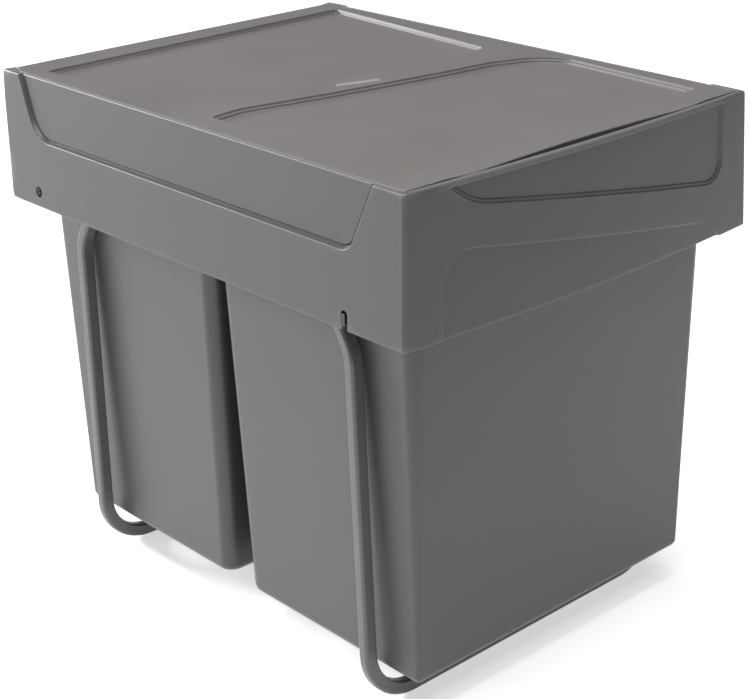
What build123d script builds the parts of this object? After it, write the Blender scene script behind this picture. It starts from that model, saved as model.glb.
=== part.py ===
from build123d import *
import math
import os

os.makedirs("parts", exist_ok=True)

# ---------------------------------------------------------------- driving dimensions (mm)
# Origin: centre of the overall box on the cabinet floor. +X right, -Y front (pull side), +Z up.

# cover frame (moulded surround that slides out)
Z_BOT, Z_TOP = 349.3, 467.3          # lower edge of the skirt, top of the surround
HW_BOT, HW_TOP = 200.1, 194.5        # half widths at those heights (drafted side walls)
YF_BOT, YF_TOP = -261.1, -258.8      # front corners
YR_BOT, YR_TOP = 270.8, 276.0        # rear wall
SAG_BOT, SAG_TOP = 9.7, 8.8          # bow of the front wall in plan
WALL = 2.5
LEDGE_Z0, LEDGE_Z1 = 430.0, 433.0    # shelf that the bin rims hang on
RECESS = 4.1                         # depth of the recessed side panels
RECESS_PTS = [(239.0, 118.2), (203.0, 62.9), (-196.0, 62.9), (-229.0, 118.2)]
LID_SEAT_Z = 463.0
REAR_CUT_Z = 457.0                   # the rear wall stops below the lid's hinge bead

# bins
BIN_Z0, BIN_SHOULDER, BIN_RIM = 35.3, 349.3, 433.3
BIN_HW0, BIN_HW1 = 164.5, 171.5
BIN_HD0, BIN_HD1 = 109.8, 118.4      # half depths (along Y)
BIN_YC_FRONT, BIN_YC_REAR = -121.4, 127.75
BIN_R_OUTER, BIN_R_INNER, BIN_R_TOP = 3.5, 13.0, 13.0   # foot corners away from and next to the other bin, and at the shoulder
BIN_WALL, BIN_FLOOR = 2.2, 2.6
RIM_X_OUT, RIM_Y_OUT, RIM_T = 7.0, 4.6, 3.0

# floor frame: rounded rectangular steel tube
TUBE_W, TUBE_D, TUBE_T, TUBE_R = 12.4, 10.2, 1.2, 2.6
TUBE_X = 178.6                       # centre plane of each side tube
LEG_FOOT = (-188.0, 195.0)           # centre Y of the legs at the floor
LEG_ELBOW = (-180.4, 187.4)          # centre Y at the elbows
Z_ELBOW, Z_RAIL = 320.0, 366.5
RAIL_Y = (-152.5, 159.5)
R_FOOT, R_ELBOW, R_RAIL = 46.8, 38.0, 24.0
BAR_HALF = 118.0                     # half length of the straight floor bars
FLOOR_HOLE_X, FLOOR_HOLE_R = 95.0, 2.6

# telescopic runners, three members, full extension
RUN_X = TUBE_X + TUBE_W / 2 + 0.15   # back of the fixed member, just off the tube
RUN_Y0, RUN_Y1 = -240.0, 260.0       # fixed member, 500 long
MOV_Y1 = 249.7                       # rear end of the two moving members
RUN_Z = 366.5
RIVET_Y = (-130.0, 3.5, 137.0)
CAGE_Y0, CAGE_Y1 = -90.0, 110.0
BALL_OUT_R, BALL_IN_R = 1.5, 1.4
BALL_COUNT = 9
HOOK_Y = -194.7
SCREW_Y, SCREW_Z = 224.8, 363.2

# lid
LID_HW = 190.3
LID_Y0 = -252.8                       # front edge at the corners
LIP_Y = -254.2                       # inner edge of the front lip at the corners
HINGE_Y, HINGE_Z, HINGE_R = 267.3, 462.5, 4.8
LID_DECK, LID_STEP = 2.5, 5.0
PIN_R = 1.75


def lerp(z, a, b):
    return a + (b - a) * (z - Z_BOT) / (Z_TOP - Z_BOT)


def cover_outline(z, inset, r_rear, r_front):
    """Plan outline of the surround at height z: straight sides and rear, bowed front."""
    hw = lerp(z, HW_BOT, HW_TOP) - inset
    yf = lerp(z, YF_BOT, YF_TOP) + inset
    yr = lerp(z, YR_BOT, YR_TOP) - inset
    sag = lerp(z, SAG_BOT, SAG_TOP)
    with BuildSketch(Plane.XY.offset(z)) as s:
        with BuildLine():
            Line((hw, yf), (hw, yr))
            Line((hw, yr), (-hw, yr))
            Line((-hw, yr), (-hw, yf))
            ThreePointArc((-hw, yf), (0, yf - sag), (hw, yf))
        make_face()
        fillet(s.vertices().group_by(Axis.Y)[-1], r_rear)
        fillet(s.vertices().group_by(Axis.Y)[0], r_front)
    return s.sketch


def rounded(z, hw, hd, yc, r_front, r_rear):
    """Rectangle at height z, half width hw, half depth hd, centred at (0, yc), its front and rear corners rounded."""
    with BuildSketch(Plane.XY.offset(z)) as s:
        with Locations((0, yc)):
            Rectangle(2 * hw, 2 * hd)
        fillet(s.vertices().group_by(Axis.Y)[0], r_front)
        fillet(s.vertices().group_by(Axis.Y)[-1], r_rear)
    return s.sketch


def side_plane(side):
    """Plane of a drafted side wall, local x = side * Y, local y up the wall, z outwards."""
    a = math.atan((HW_BOT - HW_TOP) / (Z_TOP - Z_BOT))
    return Plane(origin=(side * HW_BOT, 0, Z_BOT), x_dir=(0, side, 0),
                 z_dir=(side * math.cos(a), 0, math.sin(a)))


def slab(x0, x1, y0, y1, z0, z1, mode=Mode.ADD):
    """Axis-aligned block between two corners, in the active part."""
    with Locations(((x0 + x1) / 2, (y0 + y1) / 2, (z0 + z1) / 2)):
        Box(abs(x1 - x0), abs(y1 - y0), abs(z1 - z0), mode=mode)


def finish(part, label):
    part.label = label
    export_step(part, "parts/" + label + ".step")


# ---------------------------------------------------------------- cover frame
outer_secs = [cover_outline(Z_BOT, 0, 4.5, 3), cover_outline(Z_TOP, 0, 4.5, 3)]
low_secs = [cover_outline(Z_BOT - 1, WALL, 2, 1.5), cover_outline(LEDGE_Z0, WALL, 2, 1.5)]
top_secs = [cover_outline(LEDGE_Z1, WALL, 2, 1.5), cover_outline(Z_TOP + 1, WALL, 2, 1.5)]
lip_out = cover_outline(Z_TOP, 0.3, 4.5, 3)

with BuildPart() as cover_frame:
    loft(sections=outer_secs)
    loft(sections=low_secs, mode=Mode.SUBTRACT)
    loft(sections=top_secs, mode=Mode.SUBTRACT)
    # thicker rolled lip along the bowed front edge
    with BuildSketch(Plane.XY.offset(Z_TOP)):
        add(lip_out)
        with BuildLine():
            Line((-191.6, LIP_Y), (-191.6, 300.0))
            Line((-191.6, 300.0), (191.6, 300.0))
            Line((191.6, 300.0), (191.6, LIP_Y))
            ThreePointArc((191.6, LIP_Y), (0, LIP_Y - 6.0), (-191.6, LIP_Y))
        make_face(mode=Mode.SUBTRACT)
        with Locations((0, 60)):
            Rectangle(500, 620, mode=Mode.SUBTRACT)
    extrude(amount=-4.0)
    for side in (-1, 1):
        pts = [(side * y, h) for y, h in RECESS_PTS]
        grow = [(side * 242.0, 117.9), (side * 204.6, 60.4), (side * -197.6, 60.4), (side * -232.0, 117.9)]
        # recessed side panel: wall carried inwards round the recess, then the recess itself
        with BuildSketch(side_plane(side)):
            Polygon(*grow, align=None)
        extrude(amount=-(RECESS + WALL))
        with BuildSketch(side_plane(side)):
            Polygon(*pts, (side * -238.0, 134.0), (side * 248.0, 134.0), align=None)
        extrude(amount=-RECESS, mode=Mode.SUBTRACT)
    # seat that drops the wall tops under the lid, and the rear wall below the hinge bead
    slab(-191.4, 191.4, -234.0, 262.0, LID_SEAT_Z, Z_TOP + 4, mode=Mode.SUBTRACT)
    slab(-184.2, 184.2, 261.0, 282.0, REAR_CUT_Z, Z_TOP + 4, mode=Mode.SUBTRACT)
    # knuckles that carry the lid pins, one in each rear corner
    for side in (-1, 1):
        with Locations(Plane(origin=(side * 188.55, HINGE_Y, HINGE_Z), z_dir=(side, 0, 0))):
            Cylinder(HINGE_R, 8.1)
        slab(side * 184.5, side * 194.0, HINGE_Y - HINGE_R, 273.5, 440.0, HINGE_Z)
        with Locations(Plane(origin=(side * 186.0, HINGE_Y, HINGE_Z), z_dir=(side, 0, 0))):
            Cylinder(PIN_R + 0.07, 8, mode=Mode.SUBTRACT)
    # openings that the bins hang through
    for yc in (BIN_YC_FRONT, BIN_YC_REAR):
        slab(-172.7, 172.7, yc - 119.9, yc + 119.9, LEDGE_Z0 - 1, LEDGE_Z1 + 1, mode=Mode.SUBTRACT)
    for side in (-1, 1):
        # the fixed runners and tubes pass through the rear wall when the surround slides out
        slab(side * 170.0, side * 195.6, 262.0, 282.0, Z_BOT - 2, 389.0, mode=Mode.SUBTRACT)
        # screw boss, counterbored from outside
        with Locations(Plane(origin=(side * 196.2, SCREW_Y, SCREW_Z), z_dir=(side, 0, 0))):
            Cylinder(7.0, 2.0, align=(Align.CENTER, Align.CENTER, Align.MIN))
            Cylinder(2.2, 6.0, mode=Mode.SUBTRACT)
        with Locations(Plane(origin=(side * 197.6, SCREW_Y, SCREW_Z), z_dir=(side, 0, 0))):
            Cylinder(4.6, 6.0, align=(Align.CENTER, Align.CENTER, Align.MIN), mode=Mode.SUBTRACT)
        # notch for the front hook, open at the lower edge
        slab(side * 194.0, side * 202.0, HOOK_Y - 3.5, HOOK_Y + 3.5, Z_BOT - 2, 361.4, mode=Mode.SUBTRACT)
        with Locations(Plane(origin=(side * 198.0, HOOK_Y, 361.4), z_dir=(side, 0, 0))):
            Cylinder(3.5, 8.0, mode=Mode.SUBTRACT)
finish(cover_frame.part, "cover_frame")

# ---------------------------------------------------------------- lid
with BuildSketch(Plane.XY.offset(Z_TOP)) as lid_outline:
    with BuildLine():
        Line((LID_HW, LID_Y0), (LID_HW, HINGE_Y))
        Line((LID_HW, HINGE_Y), (-LID_HW, HINGE_Y))
        Line((-LID_HW, HINGE_Y), (-LID_HW, LID_Y0))
        # front edge: meets the lip either side of a shallow finger scoop
        Polyline((-LID_HW, LID_Y0), (-150, LID_Y0), (-135, LID_Y0 - 2.8), (-112, LID_Y0 - 3.4))
        ThreePointArc((-112, LID_Y0 - 3.4), (0, LID_Y0 + 3.3), (112, LID_Y0 - 3.4))
        Polyline((112, LID_Y0 - 3.4), (135, LID_Y0 - 2.8), (150, LID_Y0), (LID_HW, LID_Y0))
    make_face()

# the two recessed fields either side of the slanting bridge
REAR_FIELD = [(-171.0, 235.0), (175.0, 241.5), (157.0, 10.5), (110.0, 6.0), (-60.0, 24.0), (-168.0, 44.0)]
FRONT_FIELD = [(-163.0, 4.0), (-130.0, 8.0), (-45.0, -9.0), (75.0, -27.0), (120.0, -31.0),
               (160.0, -46.0), (178.0, -70.0), (171.0, -224.0), (-174.0, -226.0)]

with BuildPart() as lid:
    add(lid_outline.sketch)
    extrude(amount=-4.0)
    with BuildSketch(Plane.XY.offset(Z_TOP - 4.0)):
        with Locations((0, (LID_Y0 + HINGE_Y) / 2 + 4)):
            Rectangle(2 * 186.2, HINGE_Y - LID_Y0 - 12)
    extrude(amount=-(LID_STEP + LID_DECK - 4.0))
    for field in (REAR_FIELD, FRONT_FIELD):
        with BuildSketch(Plane.XY.offset(Z_TOP)):
            Polygon(*field, align=None)
        extrude(amount=-LID_STEP, mode=Mode.SUBTRACT)
    # the underside is relieved below the borders so that the wall stays even
    with BuildSketch(Plane.XY.offset(Z_TOP - LID_STEP - LID_DECK)):
        with Locations((0, (LID_Y0 + HINGE_Y) / 2 + 4)):
            Rectangle(2 * 186.2, HINGE_Y - LID_Y0 - 12)
            Rectangle(2 * 184.4, HINGE_Y - LID_Y0 - 16, mode=Mode.SUBTRACT)
        with Locations((0, 220)):
            Rectangle(400, 110, mode=Mode.SUBTRACT)
    extrude(amount=-7.0)
    # front skirt below the finger scoop
    with BuildSketch(Plane.XY.offset(Z_TOP - 4.0)):
        add(lid_outline.sketch)
        with Locations((0, 13)):
            Rectangle(500, 520, mode=Mode.SUBTRACT)
    extrude(amount=-7.3)
    # hinge bead with its bore
    with Locations(Plane(origin=(0, HINGE_Y, HINGE_Z), z_dir=(1, 0, 0))):
        Cylinder(HINGE_R, 2 * 183.9)
    for side in (-1, 1):
        slab(side * 183.9, side * 192.0, 261.0, 276.0, 450.0, Z_TOP + 1, mode=Mode.SUBTRACT)
        with Locations(Plane(origin=(side * 176.9, HINGE_Y, HINGE_Z), z_dir=(side, 0, 0))):
            Cylinder(PIN_R + 0.03, 14.2, mode=Mode.SUBTRACT)
    # shallow pocket for the blank badge
    with BuildSketch(Plane(origin=(-8.5, -1.0, Z_TOP), x_dir=(math.cos(math.radians(-18.2)), math.sin(math.radians(-18.2)), 0), z_dir=(0, 0, 1))):
        SlotOverall(42.4, 8.4)
    extrude(amount=-0.8, mode=Mode.SUBTRACT)
finish(lid.part, "lid")

with BuildPart() as lid_badge:
    with BuildSketch(Plane(origin=(-8.5, -1.0, Z_TOP - 0.8), x_dir=(math.cos(math.radians(-18.2)), math.sin(math.radians(-18.2)), 0), z_dir=(0, 0, 1))):
        SlotOverall(42.0, 8.0)
    extrude(amount=1.2)
finish(lid_badge.part, "lid_badge")

for side, name in ((-1, "left"), (1, "right")):
    with BuildPart() as lid_pin:
        with Locations(Plane(origin=(side * 170.0, HINGE_Y, HINGE_Z), z_dir=(side, 0, 0))):
            Cylinder(PIN_R, 17.6, align=(Align.CENTER, Align.CENTER, Align.MIN))
    finish(lid_pin.part, "lid_pin_" + name)

# ---------------------------------------------------------------- bins
for yc, name in ((BIN_YC_FRONT, "front_bin"), (BIN_YC_REAR, "rear_bin")):
    # the two bins are the same moulding, turned so that their sharper corners face outwards
    foot_f, foot_r = (BIN_R_OUTER, BIN_R_INNER) if yc < 0 else (BIN_R_INNER, BIN_R_OUTER)

    def level(z, inset, less=0.0):
        """Section of the drafted body at height z, moved inwards by inset, its corners reduced by less."""
        t = (z - BIN_Z0) / (BIN_SHOULDER - BIN_Z0)
        hw = BIN_HW0 + (BIN_HW1 - BIN_HW0) * t - inset
        hd = BIN_HD0 + (BIN_HD1 - BIN_HD0) * t - inset
        r_f = max(0.8, foot_f + (BIN_R_TOP - foot_f) * t - less)
        r_r = max(0.8, foot_r + (BIN_R_TOP - foot_r) * t - less)
        return rounded(z, hw, hd, yc, r_f, r_r)

    with BuildPart() as waste_bin:
        # the long draft, then the straight neck
        loft(sections=[level(BIN_Z0, 0.0), level(BIN_SHOULDER, 0.0)])
        loft(sections=[level(BIN_SHOULDER, 0.0), rounded(BIN_RIM + RIM_T, BIN_HW1 + 0.5, BIN_HD1 + 0.8, yc, 13, 13)])
        # rim that hangs on the ledge
        with BuildSketch(Plane.XY.offset(BIN_RIM)):
            with Locations((0, yc)):
                RectangleRounded(2 * (BIN_HW1 + RIM_X_OUT), 2 * (BIN_HD1 + RIM_Y_OUT), 17)
        extrude(amount=RIM_T)
        loft(sections=[level(BIN_Z0 + BIN_FLOOR, BIN_WALL, 2.0), level(BIN_SHOULDER, BIN_WALL, 2.0)], mode=Mode.SUBTRACT)
        loft(sections=[level(BIN_SHOULDER, BIN_WALL, 2.0),
                       rounded(BIN_RIM + RIM_T + 1, BIN_HW1 + 0.5 - BIN_WALL, BIN_HD1 + 0.8 - BIN_WALL, yc, 11, 11)], mode=Mode.SUBTRACT)
    finish(waste_bin.part, name)

# ---------------------------------------------------------------- floor frame tubes
def tube_profile(plane):
    """Hollow rounded rectangle, TUBE_D along local x and TUBE_W along local y."""
    with BuildSketch(plane) as s:
        RectangleRounded(TUBE_D, TUBE_W, TUBE_R)
        RectangleRounded(TUBE_D - 2 * TUBE_T, TUBE_W - 2 * TUBE_T, TUBE_R - TUBE_T, mode=Mode.SUBTRACT)
    return s.sketch


for side, name in ((-1, "left"), (1, "right")):
    zf = TUBE_W / 2
    with BuildPart() as side_tube:
        with BuildLine() as side_path:
            FilletPolyline((side * BAR_HALF, LEG_FOOT[0], zf), (side * TUBE_X, LEG_FOOT[0], zf),
                           (side * TUBE_X, LEG_ELBOW[0], Z_ELBOW), (side * TUBE_X, RAIL_Y[0], Z_RAIL),
                           (side * TUBE_X, RAIL_Y[1], Z_RAIL), (side * TUBE_X, LEG_ELBOW[1], Z_ELBOW),
                           (side * TUBE_X, LEG_FOOT[1], zf), (side * BAR_HALF, LEG_FOOT[1], zf),
                           radius=[R_FOOT, R_ELBOW, R_RAIL, R_RAIL, R_ELBOW, R_FOOT])
        profile = tube_profile(Plane(origin=(side * BAR_HALF, LEG_FOOT[0], zf), x_dir=(0, 1, 0), z_dir=(side, 0, 0)))
        sweep(sections=profile, path=side_path.line)
        # rivet holes in the outer wall of the rail
        for y in RIVET_Y:
            with Locations(Plane(origin=(side * RUN_X, y, RUN_Z), z_dir=(side, 0, 0))):
                Cylinder(2.5, 4.0, mode=Mode.SUBTRACT)
    finish(side_tube.part, "side_tube_" + name)

for y, name in ((LEG_FOOT[0], "front_floor_bar"), (LEG_FOOT[1], "rear_floor_bar")):
    with BuildPart() as floor_bar:
        profile = tube_profile(Plane(origin=(-BAR_HALF, y, TUBE_W / 2), x_dir=(0, 1, 0), z_dir=(1, 0, 0)))
        extrude(to_extrude=profile, amount=2 * BAR_HALF)
        for x in (-FLOOR_HOLE_X, FLOOR_HOLE_X):
            with Locations((x, y, TUBE_W / 2)):
                Cylinder(FLOOR_HOLE_R, TUBE_W + 4, mode=Mode.SUBTRACT)
    finish(floor_bar.part, name)

# plugs that join the bent tubes to the floor bars
with BuildPart() as bar_joiners:
    for y in LEG_FOOT:
        for side in (-1, 1):
            with BuildSketch(Plane(origin=(side * (BAR_HALF - 15), y, TUBE_W / 2), x_dir=(0, 1, 0), z_dir=(side, 0, 0))):
                RectangleRounded(TUBE_D - 2 * TUBE_T - 0.1, TUBE_W - 2 * TUBE_T - 0.1, TUBE_R - TUBE_T - 0.05)
            extrude(amount=28.0)
finish(bar_joiners.part, "bar_joiners")

# ---------------------------------------------------------------- telescopic runners
# u is measured from the tube face towards the surround, v is up from the runner's centre line
OUTER = [(0, 1.2, 0, 16.0), (0, 9.6, 14.8, 16.0), (8.8, 9.6, 13.7, 15.0)]
MIDDLE = [(3.1, 4.1, 0, 11.2), (3.1, 9.9, 10.1, 11.2), (9.1, 9.9, 9.2, 10.2)]
INNER = [(10.1, 11.2, 0, 6.7), (5.0, 11.2, 5.6, 6.7)]
CAGE_OUT = [(2.3, 2.8, 0, 13.25), (2.3, 8.2, 12.75, 13.25)]
CAGE_IN = [(4.4, 4.9, 0, 8.65), (4.4, 9.0, 8.15, 8.65)]

ball_ys = [CAGE_Y0 + 12 + i * (CAGE_Y1 - CAGE_Y0 - 24) / (BALL_COUNT - 1) for i in range(BALL_COUNT)]

for side, name in ((-1, "left"), (1, "right")):
    for rects, y0, y1, label in ((OUTER, RUN_Y0, RUN_Y1, "outer_runner_"), (MIDDLE, RUN_Y0, MOV_Y1, "middle_runner_"),
                                 (INNER, RUN_Y0, MOV_Y1, "inner_runner_")):
        with BuildPart() as rail:
            with BuildSketch(Plane(origin=(side * RUN_X, y0, RUN_Z), x_dir=(side, 0, 0), z_dir=(0, -1, 0))):
                for u0, u1, v0, v1 in rects:
                    for s in (-1, 1):
                        with Locations(((u0 + u1) / 2, s * (v0 + v1) / 2)):
                            Rectangle(u1 - u0, v1 - v0)
            extrude(amount=-(y1 - y0))
            if label == "outer_runner_":
                for y in RIVET_Y:
                    with Locations(Plane(origin=(side * RUN_X, y, RUN_Z), z_dir=(side, 0, 0))):
                        Cylinder(2.5, 4.0, mode=Mode.SUBTRACT)
            if label == "inner_runner_":
                with Locations(Plane(origin=(side * (RUN_X + 10.6), SCREW_Y, SCREW_Z), z_dir=(side, 0, 0))):
                    Cylinder(2.1, 4.0, mode=Mode.SUBTRACT)
        finish(rail.part, label + name)
    for rects, uc, vc, br, label in ((CAGE_OUT, 6.0, 13.0, BALL_OUT_R, "outer"), (CAGE_IN, 7.0, 8.4, BALL_IN_R, "inner")):
        with BuildPart() as cage:
            with BuildSketch(Plane(origin=(side * RUN_X, CAGE_Y0, RUN_Z), x_dir=(side, 0, 0), z_dir=(0, -1, 0))):
                for u0, u1, v0, v1 in rects:
                    for s in (-1, 1):
                        with Locations(((u0 + u1) / 2, s * (v0 + v1) / 2)):
                            Rectangle(u1 - u0, v1 - v0)
            extrude(amount=-(CAGE_Y1 - CAGE_Y0))
            with Locations(*[(side * (RUN_X + uc), y, RUN_Z + s * vc) for y in ball_ys for s in (-1, 1)]):
                Cylinder(br + 0.1, 4.0, mode=Mode.SUBTRACT)
        finish(cage.part, label + "_ball_cage_" + name)
        with BuildPart() as balls:
            with Locations(*[(side * (RUN_X + uc), y, RUN_Z + s * vc) for y in ball_ys for s in (-1, 1)]):
                Sphere(br)
        finish(balls.part, label + "_balls_" + name)
    # hook at the front of the moving member, its tongue standing in the surround's notch
    with BuildPart() as hook:
        slab(side * (RUN_X + 10.1), side * (RUN_X + 11.2), HOOK_Y - 9, HOOK_Y + 9, 352.3, RUN_Z - 6.7)
        slab(side * (RUN_X + 10.1), side * 199.6, HOOK_Y - 1.8, HOOK_Y + 1.8, 352.3, RUN_Z - 6.7)
        slab(side * (RUN_X + 11.3), side * 199.6, HOOK_Y - 1.8, HOOK_Y + 1.8, 355.0, 362.4)
    finish(hook.part, "front_hook_" + name)

# blind rivets: low heads inside the fixed members, shanks in the tube wall
with BuildPart() as runner_rivets:
    for side in (-1, 1):
        for y in RIVET_Y:
            with Locations(Plane(origin=(side * (RUN_X + 1.2), y, RUN_Z), z_dir=(side, 0, 0))):
                Cylinder(4.4, 0.9, align=(Align.CENTER, Align.CENTER, Align.MIN))
                Cylinder(2.4, 4.6, align=(Align.CENTER, Align.CENTER, Align.MAX))
            with Locations(Plane(origin=(side * (RUN_X - TUBE_T - 0.5), y, RUN_Z), z_dir=(side, 0, 0))):
                Cylinder(3.4, 2.2, align=(Align.CENTER, Align.CENTER, Align.MAX))
finish(runner_rivets.part, "runner_rivets")

# screws that hold the surround to the moving members at the rear
with BuildPart() as rear_screws:
    for side in (-1, 1):
        with Locations(Plane(origin=(side * 197.6, SCREW_Y, SCREW_Z), z_dir=(side, 0, 0))):
            Cylinder(4.1, 1.5, align=(Align.CENTER, Align.CENTER, Align.MIN))
            Cylinder(2.0, 3.6, align=(Align.CENTER, Align.CENTER, Align.MAX))
finish(rear_screws.part, "rear_screws")

# rubber buffers at the rear of the fixed members
with BuildPart() as buffer_stops:
    for side in (-1, 1):
        slab(side * (RUN_X + 1.2), side * (RUN_X + 9.8), MOV_Y1 + 0.3, RUN_Y1 - 1.0, RUN_Z - 9.0, RUN_Z + 9.0)
finish(buffer_stops.part, "buffer_stops")
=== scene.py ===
import bpy
import math
import numpy as np
from mathutils import Matrix, Vector
from mathutils.geometry import delaunay_2d_cdt


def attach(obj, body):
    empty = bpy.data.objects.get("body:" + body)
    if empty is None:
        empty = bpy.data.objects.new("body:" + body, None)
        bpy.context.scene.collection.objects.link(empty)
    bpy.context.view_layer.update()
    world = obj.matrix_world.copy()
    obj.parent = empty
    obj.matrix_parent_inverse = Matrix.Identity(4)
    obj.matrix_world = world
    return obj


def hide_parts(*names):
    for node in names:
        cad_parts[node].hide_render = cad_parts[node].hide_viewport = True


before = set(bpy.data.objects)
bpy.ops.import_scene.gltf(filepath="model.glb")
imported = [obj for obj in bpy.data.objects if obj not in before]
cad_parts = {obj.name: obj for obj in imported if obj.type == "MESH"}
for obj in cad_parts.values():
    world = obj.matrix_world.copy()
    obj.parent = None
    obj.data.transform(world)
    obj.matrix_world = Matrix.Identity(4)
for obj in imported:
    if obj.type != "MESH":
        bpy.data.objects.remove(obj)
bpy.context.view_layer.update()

# All working sizes are millimetres in the shared frame; meshes are written in metres.
Z_BOT, Z_TOP = 349.3, 467.3
HW_BOT, HW_TOP = 200.1, 194.5
YF_BOT, YF_TOP = -261.1, -258.8
YR_BOT, YR_TOP = 270.8, 276.0
SAG_BOT, SAG_TOP = 9.7, 8.8
R_FRONT, R_REAR = 3.0, 4.5
WALL = 2.5
HEIGHT = Z_TOP - Z_BOT
LID_SEAT_Z = 463.2
RIM_X = 188.6              # inner edge of the rim beside the lid
LID_X = 188.2
HINGE_Y, HINGE_Z, HINGE_R = 267.3, 462.5, 4.8
CORNER_Y = 260.4           # the lid's rear corners end here
HOOK_Y = -194.7
SCREW_Y, SCREW_Z = 224.8, 363.2


# ------------------------------------------------------------------ plane geometry
def unit(v):
    return v / np.maximum(np.linalg.norm(v, axis=-1, keepdims=True), 1e-12)


def round_path(pts, radii, closed=False, step=9.0, arc=9.0):
    """Fine polyline through pts with tangent arcs at the corners."""
    pts = [np.array(p, float) for p in pts]
    n = len(pts)
    if not isinstance(radii, (list, tuple)):
        radii = [radii] * n
    runs = []
    for i in range(n):
        b = pts[i]
        if not closed and i in (0, n - 1):
            runs.append([b])
            continue
        a, c = pts[i - 1], pts[(i + 1) % n]
        la, lc = np.linalg.norm(a - b), np.linalg.norm(c - b)
        d1, d2 = (a - b) / la, (c - b) / lc
        turn = math.pi - math.acos(max(-1, min(1, float(d1 @ d2))))
        if radii[i] <= 0 or turn < 1e-3:
            runs.append([b])
            continue
        t = min(radii[i] * math.tan(turn / 2), 0.49 * min(la, lc))
        r = t / math.tan(turn / 2)
        cen = b + unit(d1 + d2) * (r / math.cos(turn / 2))
        p1, p2 = b + d1 * t, b + d2 * t
        a1 = math.atan2(*(p1 - cen)[::-1])
        a2 = math.atan2(*(p2 - cen)[::-1])
        da = (a2 - a1 + math.pi) % (2 * math.pi) - math.pi
        k = max(2, int(math.ceil(abs(math.degrees(da)) / arc)))
        runs.append([cen + r * np.array((math.cos(a1 + da * j / k), math.sin(a1 + da * j / k))) for j in range(k + 1)])
    out = []
    for i in range(n if closed else n - 1):
        out.extend(runs[i])
        a, b = runs[i][-1], runs[(i + 1) % n][0]
        k = max(1, int(round(np.linalg.norm(b - a) / step)))
        out.extend(a + (b - a) * j / k for j in range(1, k))
    if not closed:
        out.extend(runs[-1])
    return np.array(out)


def offset_path(p, d, closed):
    """Moves a fine polyline to its left by d."""
    if closed:
        t1, t2 = unit(p - np.roll(p, 1, 0)), unit(np.roll(p, -1, 0) - p)
    else:
        seg = unit(np.diff(p, axis=0))
        t1, t2 = np.vstack([seg[:1], seg]), np.vstack([seg, seg[-1:]])
    n1, n2 = np.stack([-t1[:, 1], t1[:, 0]], 1), np.stack([-t2[:, 1], t2[:, 0]], 1)
    m = unit(n1 + n2)
    return p + m * (d / np.maximum(0.4, (m * n1).sum(1)))[:, None]


def inside(poly, q):
    """Even-odd test of the points q against a closed polygon."""
    x, y = q[:, 0], q[:, 1]
    res = np.zeros(len(q), bool)
    a, b = poly, np.roll(poly, -1, 0)
    for (x1, y1), (x2, y2) in zip(a, b):
        if y1 == y2:
            continue
        hit = ((y1 > y) != (y2 > y)) & (x < (x2 - x1) * (y - y1) / (y2 - y1) + x1)
        res ^= hit
    return res


def distance(p, closed, q):
    a = p
    b = np.roll(p, -1, 0)
    if not closed:
        a, b = p[:-1], p[1:]
    best = np.full(len(q), 1e9)
    for u, v in zip(a, b):
        w = v - u
        t = np.clip(((q - u) @ w) / max(1e-12, float(w @ w)), 0, 1)
        best = np.minimum(best, np.hypot(*(q - u - t[:, None] * w).T))
    return best


class Relief:
    """A stepped recess: a border path with the recess on its left, and a depth profile across the border."""

    def __init__(self, path, profile, closed=False, clip=None, radii=0.6):
        self.closed, self.clip = closed, clip
        raw = round_path(profile, radii, step=1e9, arc=18.0)
        self.t, self.d = raw[1:-1, 0], raw[1:-1, 1]
        self.t = np.maximum.accumulate(self.t + np.arange(len(self.t)) * 1e-6)
        self.path = path
        if closed:
            self.poly = path
        else:
            far = 60.0 if clip > 50 else -60.0
            self.poly = np.vstack([path, path[-1] + (0, far), path[0] + (0, far)])

    def lines(self):
        for t in self.t:
            q = offset_path(self.path, t, self.closed)
            if not self.closed:
                for e, o in ((0, 1), (-1, -2)):
                    s = (self.clip - q[o, 1]) / (q[e, 1] - q[o, 1])
                    q[e] = q[o] + (q[e] - q[o]) * s
            yield q

    def signed(self, q):
        s = distance(self.path if self.closed else self.long_path(), self.closed, q)
        return np.where(inside(self.poly, q), s, -s)

    def long_path(self):
        far = 30.0 if self.clip > 50 else -30.0
        p = self.path
        d0, d1 = p[0] - p[1], p[-1] - p[-2]
        return np.vstack([p[0] + d0 * abs(far / d0[1]), p, p[-1] + d1 * abs(far / d1[1])])

    def depth(self, q):
        return np.interp(self.signed(q), self.t, self.d)


def triangulate(domain, holes, lines, pts):
    """Constrained Delaunay triangles inside domain and outside holes."""
    co, ed = [], []

    def add(p, closed):
        s = len(co)
        co.extend(p.tolist())
        n = len(p)
        ed.extend((s + i, s + (i + 1) % n) for i in range(n if closed else n - 1))

    add(domain, True)
    for h in holes:
        add(h, True)
    for p, closed in lines:
        add(p, closed)
    co.extend(pts.tolist())
    v, _, f, *_ = delaunay_2d_cdt([Vector(c) for c in co], ed, [], 0, 1e-4)
    v = np.array([tuple(c) for c in v])
    f = np.array(f)
    c = v[f].mean(1)
    keep = inside(domain, c)
    for h in holes:
        keep &= ~inside(h, c)
    e1, e2 = v[f[:, 1]] - v[f[:, 0]], v[f[:, 2]] - v[f[:, 0]]
    area = e1[:, 0] * e2[:, 1] - e1[:, 1] * e2[:, 0]
    f = f[keep & (np.abs(area) > 1e-7)]
    area = area[keep & (np.abs(area) > 1e-7)]
    f[area < 0] = f[area < 0][:, ::-1]
    used = np.unique(f)
    back = np.full(len(v), -1)
    back[used] = np.arange(len(used))
    return v[used], back[f]


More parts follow.
